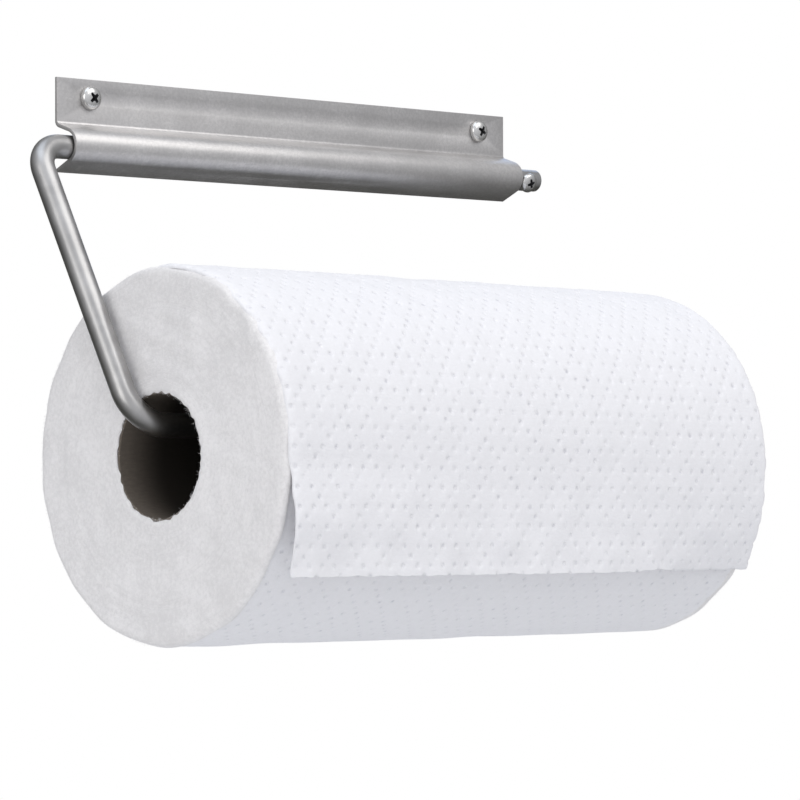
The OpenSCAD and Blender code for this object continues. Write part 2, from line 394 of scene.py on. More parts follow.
def core_board(shade, pitch, girth, width):
    """Grey-brown core board, wound from a strip, so one butt seam runs round it in a helix; painted
    shade darkens it towards the middle of the tube, away from its open ends.
    """
    f = Finish("core_board", Roughness=0.9, Specular_IOR_Level=0.2)
    place = f.place("UV")
    along, round_it = f.apart(place)
    turn = along * (1 / pitch) + round_it * (1 / girth)
    seam = f.node("ShaderNodeMath", {"operation": "PINGPONG"}, turn, 0.5)
    line = 1 - f.range(seam, 0.004, 0.014, 0, 1)
    pulp = f.noise(f.stretch(place, (300, 900, 1)), 1.0, 4, 0.65)
    tone = f.mix(pulp, scaled(shade, 0.75), scaled(shade, 1.3))
    tone = f.mix(line, tone, scaled(shade, 0.4))
    # Painted shade: darker with distance from the open ends, as the light falls off inside the
    # tube.
    painted_inner_shade = f.range(along.least(width - along), 2 * MM, 24 * MM, 0, 0.93)
    tone = f.mix(painted_inner_shade, tone, scaled(shade, 0.12))
    return f.feed(Base_Color=tone, Normal=f.bump(pulp - line, 0.4, 0.0002))


# ---------------------------------------------------------------- mesh helpers


def keep(name, mesh, body, material_slot, *replaced):
    """Makes a piece from a finished mesh and hands it to the frame."""
    piece = bpy.data.objects.new(name, mesh)
    bpy.context.scene.collection.objects.link(piece)
    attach(piece, body)
    if replaced:
        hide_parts(*replaced)
    return piece


def plain(source, *modifiers):
    """The evaluated mesh of a new object that has the modifiers: (type, settings) pairs."""
    mesh = source if isinstance(source, bpy.types.Mesh) else source.data
    draft = bpy.data.objects.new("draft", mesh)
    bpy.context.scene.collection.objects.link(draft)
    for kind, settings in modifiers:
        modifier = draft.modifiers.new(kind.lower(), kind)
        for key, value in settings.items():
            if kind == "NODES" and key != "node_group":
                modifier[key] = value
            else:
                setattr(modifier, key, value)
    graph = bpy.context.evaluated_depsgraph_get()
    graph.update()
    result = bpy.data.meshes.new_from_object(draft.evaluated_get(graph))
    bpy.data.objects.remove(draft)
    return result


def smooth(mesh, angle=35):
    mesh.polygons.foreach_set("use_smooth", [True] * len(mesh.polygons))
    mesh.set_sharp_from_angle(angle=math.radians(angle))
    mesh.update()
    return mesh


def mesh_of(name, points, faces, material=None):
    mesh = bpy.data.meshes.new(name)
    mesh.from_pydata([tuple(p) for p in points], [], faces)
    mesh.validate()
    if material:
        mesh.materials.append(material)
    return mesh


def outward(mesh, merge=True):
    """Turns the faces outwards, after merging doubled points."""
    form = bmesh.new()
    form.from_mesh(mesh)
    if merge:
        bmesh.ops.remove_doubles(form, verts=form.verts, dist=1e-7)
    bmesh.ops.recalc_face_normals(form, faces=form.faces)
    form.to_mesh(mesh)
    form.free()
    mesh.update()
    return mesh


def mapped_mesh(name, points, faces, uv, materials, angle, slots=None):
    """A closed smooth mesh with its own map; uv is one (u, v) per face corner, in metres."""
    mesh = bpy.data.meshes.new(name)
    mesh.from_pydata(points.reshape(-1, 3).tolist(), [], [tuple(map(int, f)) for f in faces])
    for material in materials:
        mesh.materials.append(material)
    layer = mesh.uv_layers.new(name="paper")
    layer.data.foreach_set("uv", np.asarray(uv, np.float32).ravel())
    if slots:
        mesh.polygons.foreach_set("material_index", slots)
    mesh.update()
    return smooth(outward(mesh, merge=False), angle)


def sleeve(name, points, bands, arc, materials, angle):
    """Closes rings of points into a tube wall; a band is its (map start, map end, slot)."""
    faces, uv, slots = [], [], []
    steps = points.shape[1]
    for i, (start, end, slot) in enumerate(bands):
        k = (i + 1) % len(bands)
        for step in range(steps):
            after = (step + 1) % steps
            faces.append((i * steps + step, i * steps + after, k * steps + after, k * steps + step))
            here, there = step * arc, (step + 1) * arc
            uv += [(start, here), (start, there), (end, there), (end, here)]
            slots.append(slot)
    return mapped_mesh(name, points, faces, uv, materials, angle, slots)


def lathe(name, profile, steps, material=None):
    """Turns (radius, z) points round Z; a radius of 0 at either end closes it with a fan."""
    points, faces, rings = [], [], []
    for radius, z in profile:
        if radius < 1e-9:
            rings.append([len(points)])
            points.append((0, 0, z))
            continue
        rings.append(list(range(len(points), len(points) + steps)))
        for step in range(steps):
            turn = math.tau * step / steps
            points.append((radius * math.cos(turn), radius * math.sin(turn), z))
    for one, two in zip(rings, rings[1:]):
        for step in range(steps):
            after = (step + 1) % steps
            ring = [one[step % len(one)], one[after % len(one)],
                    two[after % len(two)], two[step % len(two)]]
            faces.append(list(dict.fromkeys(ring)))
    return outward(mesh_of(name, points, faces, material))


def turned_to(axis):
    """A rotation that takes +Z to axis."""
    return Vector(axis).normalized().to_track_quat("Z", "Y").to_matrix().to_4x4()


def drill(radius, low, high, facets, place):
    """A round cutter from low to high on its own Z, put in its place."""
    cutter = lathe("drill", [(0, low), (radius, low), (radius, high), (0, high)], facets)
    cutter.transform(place)
    return cutter


def joined(name, *meshes):
    form = bmesh.new()
    for mesh in meshes:
        form.from_mesh(mesh)
    result = bpy.data.meshes.new(name)
    form.to_mesh(result)
    form.free()
    for material in meshes[0].materials:
        result.materials.append(material)
    return result


def cut_away(mesh, *cutters):
    """The mesh with other closed meshes cut out of it."""
    tools = []
    for cutter in cutters:
        tool = bpy.data.objects.new("cutter", cutter)
        bpy.context.scene.collection.objects.link(tool)
        tools.append(tool)
    result = plain(mesh, *[("BOOLEAN", {"operation": "DIFFERENCE", "solver": "EXACT",
                                        "object": tool}) for tool in tools])
    for tool in tools:
        bpy.data.objects.remove(tool)
    return result


# ---------------------------------------------------------------- geometry node trees


class Nodes:
    """A geometry node tree with named inputs, built node by node."""

    def __init__(self, name, **inputs):
        self.tree = bpy.data.node_groups.new(name, "GeometryNodeTree")
        face = self.tree.interface
        face.new_socket("Geometry", in_out="INPUT", socket_type="NodeSocketGeometry")
        face.new_socket("Geometry", in_out="OUTPUT", socket_type="NodeSocketGeometry")
        self.keys = {}
        for key, kind in inputs.items():
            socket = face.new_socket(key.replace("_", " "), in_out="INPUT",
                                     socket_type="NodeSocket" + kind)
            self.keys[key] = socket.identifier
        self.inside = self.tree.nodes.new("NodeGroupInput")

    def given(self, name):
        return self.inside.outputs[name]

    def add(self, kind, settings=None, output=0, **sockets):
        node = self.tree.nodes.new(kind)
        for key, value in (settings or {}).items():
            setattr(node, key, value)
        for key, value in sockets.items():
            socket = next(s for s in node.inputs
                          if s.identifier == key or s.name == key.replace("_", " "))
            if isinstance(value, bpy.types.NodeSocket):
                self.tree.links.new(value, socket)
            else:
                socket.default_value = value
        return node.outputs[output]

    def close(self, geometry):
        """Ends the tree in Realize Instances and Set Material."""
        real = self.add("GeometryNodeRealizeInstances", Geometry=geometry)
        done = self.add("GeometryNodeSetMaterial", Geometry=real, Material=self.given("Material"))
        end = self.tree.nodes.new("NodeGroupOutput")
        self.tree.links.new(done, end.inputs[0])
        return self

    def run(self, mesh, **values):
        settings = {self.keys[key]: value for key, value in values.items()}
        return plain(mesh, ("NODES", {"node_group": self.tree, **settings}))


def sweep_tree():
    """Sweeps a round section along a path; the path's 'swell' scales it from point to point."""
    t = Nodes("round_sweep", Radius="Float", Facets="Int", Material="Material")
    path = t.add("GeometryNodeMeshToCurve", Mesh=t.given("Geometry"))
    ring = t.add("GeometryNodeCurvePrimitiveCircle", Resolution=t.given("Facets"),
                 Radius=t.given("Radius"))
    swell = t.add("GeometryNodeInputNamedAttribute", {"data_type": "FLOAT"}, Name="swell")
    return t.close(t.add("GeometryNodeCurveToMesh", Curve=path, Profile_Curve=ring, Scale=swell,
                         Fill_Caps=True))


def thread_tree():
    """Two joined helices, one along a screw's shank and one that narrows to its point."""
    t = Nodes("screw_thread", Radius="Float", Ridge="Float", Length="Float", Turns="Float",
              Point="Float", Point_turns="Float", Material="Material")
    ridge = t.add("GeometryNodeCurvePrimitiveCircle", Resolution=4, Radius=t.given("Ridge"))
    small = t.add("ShaderNodeMath", {"operation": "MULTIPLY"}, Value=t.given("Radius"),
                  Value_001=0.12)
    shank = t.add("GeometryNodeCurveSpiral", Resolution=20, Rotations=t.given("Turns"),
                  Start_Radius=t.given("Radius"), End_Radius=t.given("Radius"),
                  Height=t.given("Length"))
    point = t.add("GeometryNodeCurveSpiral", Resolution=20, Rotations=t.given("Point turns"),
                  Start_Radius=t.given("Radius"), End_Radius=small, Height=t.given("Point"))
    lift = t.add("ShaderNodeCombineXYZ", Z=t.given("Length"))
    point = t.add("GeometryNodeTransform", Geometry=point, Translation=lift)
    both = t.tree.nodes.new("GeometryNodeJoinGeometry")
    for curve in (shank, point):
        swept = t.add("GeometryNodeCurveToMesh", Curve=curve, Profile_Curve=ridge, Fill_Caps=True)
        t.tree.links.new(swept, both.inputs[0])
    return t.close(both.outputs[0])


def lint_tree():
    """Short bent fibres that stand on the points of a guide mesh."""
    t = Nodes("paper_lint", Fibre_length="Float", Thickness="Float", Seed="Int",
              Material="Material")
    bend = t.add("GeometryNodeCurveQuadraticBezier", Resolution=4, Start=(0, 0, -0.1),
                 Middle=(0.1, 0.05, 0.7), End=(0.65, 0.15, 0.9))
    ring = t.add("GeometryNodeCurvePrimitiveCircle", Resolution=3, Radius=t.given("Thickness"))
    fibre = t.add("GeometryNodeCurveToMesh", Curve=bend, Profile_Curve=ring, Fill_Caps=True)
    points = t.add("GeometryNodeMeshToPoints", Mesh=t.given("Geometry"))
    out = t.add("GeometryNodeInputNamedAttribute", {"data_type": "FLOAT_VECTOR"}, Name="out")
    stand = t.add("FunctionNodeAlignRotationToVector", {"axis": "Z"}, Vector=out)
    turn = t.add("FunctionNodeRandomValue", {"data_type": "FLOAT_VECTOR"}, Min=(-0.7, -0.7, -3.1),
                 Max=(0.7, 0.7, 3.1), Seed=t.given("Seed"))
    lean = t.add("FunctionNodeRotateRotation", {"rotation_space": "LOCAL"}, Rotation=stand,
                 Rotate_By=turn)
    size = t.add("FunctionNodeRandomValue", {"data_type": "FLOAT"}, output=1, Min_001=0.35,
                 Max_001=1.0, Seed=t.given("Seed"))
    reach = t.add("ShaderNodeMath", {"operation": "MULTIPLY"}, Value=size,
                  Value_001=t.given("Fibre length"))
    placed = t.add("GeometryNodeInstanceOnPoints", Points=points, Instance=fibre, Rotation=lean,
                   Scale=reach)
    return t.close(placed)


# ---------------------------------------------------------------- bracket


def bracket_outline(s):
    """The sheet's section in (y, z): a flange, a fold, a sloped top, a round nose, a return."""
    half = s.sheet / 2
    nose_mid = s.nose + half
    rest = math.radians(270) - s.return_slope
    nose_y = PIVOT.y - s.nose_play * math.cos(rest)
    nose_z = PIVOT.z - s.nose_play * math.sin(rest)
    heading = math.pi + s.top_slope
    normal_y, normal_z = math.cos(heading + math.pi / 2), math.sin(heading + math.pi / 2)
    fold_y = -half - s.fold
    fold_z = (nose_y * normal_y + nose_z * normal_z - nose_mid - s.fold - fold_y * normal_y)
    fold_z /= normal_z
    middle = [(-half, s.above, -math.pi / 2)]
    for step in range(13):
        turn = (s.top_slope - math.pi / 2) * step / 12
        middle.append((fold_y + s.fold * math.cos(turn), fold_z + s.fold * math.sin(turn),
                       turn - math.pi / 2))
    start = heading - math.pi / 2
    for step in range(41):
        turn = start + (rest - start) * step / 40
        middle.append((nose_y + nose_mid * math.cos(turn), nose_z + nose_mid * math.sin(turn),
                       turn + math.pi / 2))
    last_y, last_z, _ = middle[-1]
    reach = (-last_y - s.end_gap) / math.cos(s.return_slope)
    middle.append((last_y + reach * math.cos(s.return_slope),
                   last_z - reach * math.sin(s.return_slope), -s.return_slope))
    left = [(y - half * math.sin(a), z + half * math.cos(a)) for y, z, a in middle]
    right = [(y + half * math.sin(a), z - half * math.cos(a)) for y, z, a in middle]
    return left + right[::-1]


def build_bracket(s, material):
    """The folded sheet, with its two screw holes and broken edges."""
    low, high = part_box("mounting_bracket")
    outline = bracket_outline(s)
    count = len(outline)
    points = [(x, y, z) for x in (low.x, high.x) for y, z in outline]
    faces = [[i, (i + 1) % count, count + (i + 1) % count, count + i] for i in range(count)]
    half = count // 2
    for side in (0, count):
        faces += [[side + i, side + i + 1, side + count - 2 - i, side + count - 1 - i]
                  for i in range(half - 1)]
    sheet = outward(mesh_of("mounting_bracket", points, faces, material))
    forward = Matrix.Rotation(-math.pi / 2, 4, "X")
    sheet = cut_away(sheet, *[drill(s.hole, -2 * s.sheet, MM, 40,
                                    Matrix.Translation((x, 0, 0)) @ forward)
                              for x in (-s.screw_x, s.screw_x)])
    sheet = plain(sheet, ("BEVEL", {"width": s.edge, "segments": 2, "limit_method": "ANGLE",
                                    "angle_limit": math.radians(50), "use_clamp_overlap": True}))
    return smooth(sheet, 30)


# ---------------------------------------------------------------- screws


CROWN_BULGE = 0.86  # power that fills out a pan head's crown; 1 is an ellipse


def cross_cutter(across, depth, top):
    """A tapered cross that cuts a screw head's recess down from its top."""
    wing, arm, thinnest, fillet = across * 0.12, across * 0.5, 0.45, 1.35

    def star(scale, z):
        w, a = wing * max(scale, thinnest), arm * scale
        corner = w * fillet
        ring = []
        for quarter in range(4):
            turn = Matrix.Rotation(quarter * math.pi / 2, 2)
            ring += [turn @ Vector((a, -w)), turn @ Vector((a, w)), turn @ Vector((corner, corner))]
        return [(p.x, p.y, z) for p in ring]

    rings = [star(1.12, top + 0.3 * MM), star(1.0, top - 0.25 * MM), star(0.45, top - depth),
             star(0.12, top - depth * 1.25)]
    points = [p for ring in rings for p in ring]
    n, last = len(rings[0]), len(points) - len(rings[0])
    faces = [list(range(n))[::-1], list(range(last, last + n))]
    for base in range(0, last, n):
        faces += [[base + i, base + (i + 1) % n, base + n + (i + 1) % n, base + n + i]
                  for i in range(n)]
    return outward(mesh_of("cross_cutter", points, faces))


def crown(turn, height):
    """A pan head's crown at a turn down from its middle: share of its radius, and height."""
    return math.sin(turn) ** CROWN_BULGE, height * (0.22 + 0.78 * math.cos(turn) ** 0.8)


def head_profile(across, height):
    """A pan head's section from its crown to its underside."""
    r, steps = across / 2, 14
    section = [(0, height)]
    for step in range(1, steps + 1):
        share, z = crown(math.radians(90 * step / steps), height)
        section.append((r * share, z))
    return section + [(r, height * 0.10), (r - 0.25 * MM, 0)]


def below_crown(point, across, height):
    """Whether a point of a pan head lies down in its recess, where the painted recess shadow goes.
    """
    share, depth = math.hypot(point.x, point.y) / (across / 2), 0.09 * MM
    if share >= 0.75 or point.z <= 0:
        return False
    return point.z < crown(math.asin(share ** (1 / CROWN_BULGE)), height)[1] - depth


def build_screw(name, material, across, height, shank, thread=None, spin=0.0):
    """A screw with its head on Z = 0: shank is the rest of its profile, below the head."""
    body = lathe(name, head_profile(across, height) + shank, 48, material)
    body = cut_away(body, cross_cutter(across * 0.50, height * 0.66, height))
    body = plain(body, ("BEVEL", {"width": 0.07 * MM, "segments": 2, "limit_method": "ANGLE",
                                  "angle_limit": math.radians(40)}))
    # Faces down in the recess get the painted-shadow material as slot 1.
    body.materials.append(bpy.data.materials.get("recess_painted_shadow") or recess_shadow())
    for face in body.polygons:
        if below_crown(face.center, across, height):
            face.material_index = 1
    if thread:
        body = joined(name, body, thread)
    body.transform(Matrix.Rotation(spin, 4, "Z"))
    return smooth(body, 32)


def wall_screw(side, material):
    """A wood screw with its head on the bracket's front and its thread in the wall."""
    low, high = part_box(side + "_wall_screw")
    sheet = 1.5 * MM
    outer, neck_r, root, ridge, pitch = (x * MM for x in (2.4, 2.15, 1.75, 0.42, 2.1))
    taper, run_out, blunt = 5.76 * MM, 0.6 * MM, 0.22 * MM
    tip = high.y + sheet
    shank = [(neck_r, 0), (neck_r, -sheet), (root, -sheet - 0.8 * MM), (root, taper - tip),
             (blunt, 0.2 * MM - tip), (0, -tip)]
    start = sheet + 1.2 * MM
    run, point = tip - taper - start, taper - run_out
    seed = mesh_of("seed", [(0, 0, 0)], [])
    thread = thread_tree().run(seed, Radius=outer - ridge, Ridge=ridge, Length=run,
                               Turns=run / pitch, Point=point, Point_turns=point / pitch,
                               Material=material)
    thread.transform(Matrix.Translation((0, 0, -start)) @ Matrix.Rotation(math.pi, 4, "X"))
    screw = build_screw(side + "_wall_screw", material, high.x - low.x, -sheet - low.y, shank,
                        thread, math.radians(40 if side == "left" else 62))
    screw.transform(Matrix.Translation(((low.x + high.x) / 2, -sheet, 0))
                    @ turned_to((0, -1, 0)))
    return screw


# ---------------------------------------------------------------- rod


KEEPER_R = 2.05 * MM  # radius of the retaining screw's shank


def rod_path(s):
    """Points of the rod's centre line, with a swell that makes the chamfers at its ends."""
    low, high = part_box("hanger_rod")
    down = ARM.normalized()
    corner = Vector((low.x + s.radius, PIVOT.y, PIVOT.z))
    foot = corner + ARM
    across = Vector((1, 0, 0))
    side_gap = 1.3 * MM
    reach = corner.x + s.radius + side_gap + roll_sizes().width + s.leg_past
    thin = (s.radius - s.chamfer) / s.radius
    path = [(Vector((high.x, PIVOT.y, PIVOT.z)), thin),
            (Vector((high.x - s.chamfer, PIVOT.y, PIVOT.z)), 1.0)]

    def arc(centre, first, second, radius, steps):
        for step in range(steps + 1):
            turn = math.pi / 2 * step / steps
            path.append((centre + radius * (first * math.cos(turn) + second * math.sin(turn)), 1.0))

    arc(corner + s.upper_bend * (across + down), -down, -across, s.upper_bend, 20)
    arc(foot + s.lower_bend * (across - down), -across, down, s.lower_bend, 24)
    path.append((Vector((reach - s.chamfer, foot.y, foot.z)), 1.0))
    path.append((Vector((reach, foot.y, foot.z)), thin))
    return path


def roll_sizes():
    """The roll's sizes, which the rod's lower leg has to suit."""
    return bpy.context.scene.towel_roll_sizes


def build_rod(s, material):
    """The bent rod, swept along its centre line, with its cross hole."""
    path = rod_path(s)
    guide = bpy.data.meshes.new("rod_guide")
    guide.from_pydata([tuple(p) for p, _ in path], [(i, i + 1) for i in range(len(path) - 1)], [])
    swell = guide.attributes.new("swell", "FLOAT", "POINT")
    swell.data.foreach_set("value", [w for _, w in path])
    rod = sweep_tree().run(guide, Radius=s.radius, Facets=56, Material=material)
    reach = 8 * MM
    rod = cut_away(outward(rod), drill(KEEPER_R + 0.1 * MM, -reach, reach, 32, keeper_place(s)))
    rod = plain(rod, ("BEVEL", {"width": 0.15 * MM, "segments": 2, "limit_method": "ANGLE",
                                "angle_limit": math.radians(40)}))
    rod.name = "hanger_rod"
    return smooth(rod, 30)


def keeper_place(s):
    """Puts the retaining screw's own Z along its cross hole."""
    head = (0, -math.cos(s.keeper_tilt), -math.sin(s.keeper_tilt))
    return Matrix.Translation((s.keeper_x, PIVOT.y, PIVOT.z)) @ turned_to(head)


def build_keeper(s, material):
    """The retaining screw, whose head stands just off the rod."""
    low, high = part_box("retaining_screw")
    across = high.x - low.x
    seat = s.radius + 0.1 * MM
    end, chamfer = -seat - s.radius, 0.3 * MM
    shank = [(KEEPER_R, 0), (KEEPER_R, end + 0.35 * MM), (KEEPER_R - chamfer, end), (0, end)]
    screw = build_screw("retaining_screw", material, across, 2.8 * MM, shank,
                        spin=math.radians(20))
    screw.transform(keeper_place(s) @ Matrix.Translation((0, 0, seat)))
    return screw


# ---------------------------------------------------------------- paper


class Wander:
    """Smooth seeded unevenness: a sum of waves, periodic in the second coordinate if asked."""

    def __init__(self, seed, wave, count=14, girth=None, spread=0.6):
        dice = np.random.default_rng(seed)
        base = math.tau / wave
        size = base * dice.uniform(1 - spread, 1 + spread, count)
        angle = dice.uniform(0, math.tau, count)
        self.kx, self.ky = size * np.cos(angle), size * np.sin(angle)
        if girth:
            self.ky = np.round(self.ky * girth / math.tau) * math.tau / girth
        self.phase = dice.uniform(0, math.tau, count)
        self.scale = 1 / math.sqrt(count / 2)

    def __call__(self, x, y):
        x, y = np.asarray(x)[..., None], np.asarray(y)[..., None]
        return np.sin(x * self.kx + y * self.ky + self.phase).sum(-1) * self.scale


def embossed(u, v, s):
    """Depth of the dots below the paper's face, from 0 to 1, on the same grid as the finish."""
    along = math.tau * s.radius / s.dots_round
    i, j = (u / s.dot_across + v / along) / 2, (u / s.dot_across - v / along) / 2
    wi, wj = np.round(i), np.round(j)
    di, dj = i - wi, j - wj
    x, y = (di + dj) * s.dot_across, (di - dj) * along
    near = np.exp(-(x * x + y * y) / (s.dot_radius * 0.9) ** 2)
    return near * (1 - (np.abs(wi) % 2) * (np.abs(wj) % 2))


def roll_space():
    """The roll's own axes: along it, up from it, and away from the wall."""
    up = ROLL_AXIS.cross(Vector((0, 1, 0))).normalized()
    forward = ROLL_AXIS.cross(up).normalized()
    return tuple(np.array(x) for x in (ROLL_AXIS, up, forward))


def in_row(a, radius, turn, width):
    """Points at a distance along the roll, a radius, and a turn back over the top."""
    axis, up, forward = roll_space()
    start = np.array(ROLL_MIDDLE) - axis * width / 2
    a, radius, turn = (np.asarray(x)[..., None] for x in (a, radius, turn))
    return start + a * axis + radius * (np.cos(turn) * forward + np.sin(turn) * up)


def build_roll(s, outer, ends):
    """A closed turned form: ragged hole rims, uneven wound faces, soft rims, embossed outside."""
    girth, rounds = math.tau * s.radius, s.dots_round * 2
    uneven = Wander(s.seed, 15 * MM, 18)
    layers = Wander(s.seed + 1, 3.2 * MM, 24, girth, 0.5)
    ragged = Wander(s.seed + 2, 5.5 * MM, 20)
    scallop = Wander(s.seed + 3, 24 * MM, 8, girth, 0.5)
    dent = Wander(s.seed + 4, 60 * MM, 9, girth, 0.6)
    face_swell, layer_swell, face_back = 0.15 * MM, 0.07 * MM, 0.25 * MM
    lip_tear, lip_spread = 0.36 * MM, 1.3 * MM
    rim_droop, rim_waves, rim_reach = 0.30 * MM, 0.28 * MM, 9 * MM
    slack, slack_waves = 0.25 * MM, 0.18 * MM

    # The section, as (along the roll, radius, kind): lip of the hole, face, rim and outside.
    bore = s.core + s.core_wall + 0.1 * MM
    half = [(2.2 * MM, bore, "end"), (1.0 * MM, bore - 0.05 * MM, "end"),
            (0.5 * MM, s.core + 0.55 * MM, "end")]
    half += [(0.0, r, "end") for r in np.linspace(s.core + 0.9 * MM, s.radius - s.rim, 30)]
    for step in range(1, 7):
        t = math.pi / 2 * step / 6
        half.append((s.rim * (1 - math.cos(t)), s.radius - s.rim * (1 - math.sin(t)), "rim"))
    margin = s.rim + 0.4 * MM
    stations = np.arange(round(s.width / s.dot_across) * 2 + 1) * s.dot_across / 2
    profile = half + [(a, s.radius, "side") for a in stations if margin < a < s.width - margin]
    profile += [(s.width - a, r, kind) for a, r, kind in half[::-1]]
    count = len(profile)
    a, r = (np.array([p[i] for p in profile]) for i in (0, 1))
    side, end = (np.array([p[2] == kind for p in profile])[:, None] for kind in ("side", "end"))
    left = (np.arange(count) < count / 2)[:, None]
    turns = np.arange(rounds) * math.tau / rounds
    A, T = np.meshgrid(a, turns * s.radius, indexing="ij")
    R = np.repeat(r[:, None], rounds, 1)
    inset = np.where(left[:, 0], a, s.width - a)[:, None]

    # The faces: slow waves and single layers, which fade out towards the hole.
    flat_x, flat_y = R * np.cos(T / s.radius) + left, R * np.sin(T / s.radius)
    wave = uneven(flat_x, flat_y) * face_swell + layers(R, T * 0) * layer_swell
    shape = np.clip((R - s.core) / (6 * MM), 0, 1)
    shape = shape * np.clip((s.width / 2 - inset) / s.width, 0, 1) * 2
    A = A + np.where(left, 1, -1) * (face_back + wave) * shape * np.exp(-inset / (1.6 * MM))

    # The hole's torn lip, the drooping rim, and the embossed, slightly slack outside.
    lip = np.exp(-((R - s.core) / lip_spread) ** 2) * end
    R = R + lip * (ragged(flat_x, flat_y) * lip_tear - 0.1 * MM)
    soft = np.clip((R - s.radius * 0.75) / (s.radius * 0.2), 0, 1)
    soft = soft * np.exp(-(inset / rim_reach) ** 2)
    R = R - soft * (rim_droop + rim_waves * scallop(inset * 0 + left * 0.05, T))
    dots_in = embossed(A, T, s) * np.clip((inset - s.rim) / (2 * MM), 0, 1)
    R = R - side * (dots_in * s.dot_depth * 0.8 + slack + slack_waves * dent(A, T))
    points = in_row(A, R, np.repeat(turns[None], count, 0), s.width)

    bands = []
    for i in range(count):
        k = (i + 1) % count
        if side[i] and side[k]:
            bands.append((a[i], a[k], 0))
        else:
            apart = [r[j] + (0 if j < count / 2 else 0.5) for j in (i, k)]
            bands.append((*apart, 1))
    return sleeve("towel_roll", points, bands, girth / rounds, (outer, ends), 75)


def sheet_surface(s, u, v, lift):
    """Points of one side of the loose sheet; u runs along the roll, v back from the hang."""
    billow = Wander(s.seed + 10, 75 * MM, 8)
    crease = Wander(s.seed + 11, 22 * MM, 12)
    edge = Wander(s.seed + 12, 13 * MM, 10)
    nick = Wander(s.seed + 13, 2.2 * MM, 16)
    vary = Wander(s.seed + 14, 9 * MM, 16)
    clear, tuck_in = 0.45 * MM, 1.5 * MM
    tuck_from, tuck_over, tuck_share = 165 * MM, 100 * MM, 0.86
    curl_at, curl_half, curl_out, curl_up = 206 * MM, 9 * MM, 1.6 * MM, 1.1 * MM
    U, V = np.meshgrid(u, v, indexing="ij")
    from_edge = np.minimum(U - u[0], u[-1] - U)
    hang = np.clip(-V / s.hang, 0, 1)
    loose = hang ** 1.4

    # On the roll: dots and creases, and a far end that sinks into the layer below.
    sink = np.clip((np.clip(V / (s.wrap * s.radius), 0, 1) - 0.9) / 0.1, 0, 1)
    dot = embossed(U, V, s) * np.clip(1 + 0.45 * vary(U, V), 0.2, 1.6)
    height = clear + lift * (1 - sink) - sink * tuck_in
    height = height - dot * s.dot_depth * (1 - sink)
    height = height + (0.128 * crease(U, V) + 0.096 * billow(U, V)) * MM * (1 - sink)
    height = height - np.exp(-from_edge / (1.0 * MM)) * (1 - loose) * 1.35 * MM

    # Hanging free: it billows, bellies at the left, follows the roll at the right, and curls.
    height = height + loose * (0.8 + 0.8 * billow(U, V * 0.3) + 0.25 * crease(U, V)) * MM
    belly = np.exp(-(U / (70 * MM)) ** 2) * np.sin(math.pi * np.clip(hang, 0, 0.9)) ** 1.5
    height = height + belly * 3.0 * MM
    under = s.radius - np.sqrt(s.radius ** 2 - np.clip(-V, 0, None) ** 2)
    tuck = np.clip((U - tuck_from) / tuck_over, 0, 1)
    height = height - tuck * tuck * (3 - 2 * tuck) * under * tuck_share
    curl = np.exp(-(((U - curl_at) / curl_half) ** 2)) * np.clip((hang - 0.80) / 0.2, 0, 1) ** 2
    height = height + curl * curl_out

    # Cut and torn edges, then the drop of what hangs.
    edge_u = np.where(U < s.width / 2, 1, -1) * edge(V, V * 0 + 1) * 0.28 * MM
    edge_u = edge_u + nick(V, U * 0) * 0.04 * MM
    torn = (nick(U, U * 0 + 2) * 0.05 + edge(U, U * 0) * 0.13) * MM
    V = V + torn * np.clip((hang - 0.93) / 0.07, 0, 1) + curl * curl_up
    turn = np.clip(V, 0, None) / s.radius
    points = in_row(U + edge_u * np.exp(-from_edge / (1.2 * MM)), s.radius + height, turn, s.width)
    axis = roll_space()[0]
    down = np.array([0, 0, -1.0])
    down = down - axis * (down @ axis)
    down /= np.linalg.norm(down)
    return points + np.clip(-V, 0, None)[..., None] * down


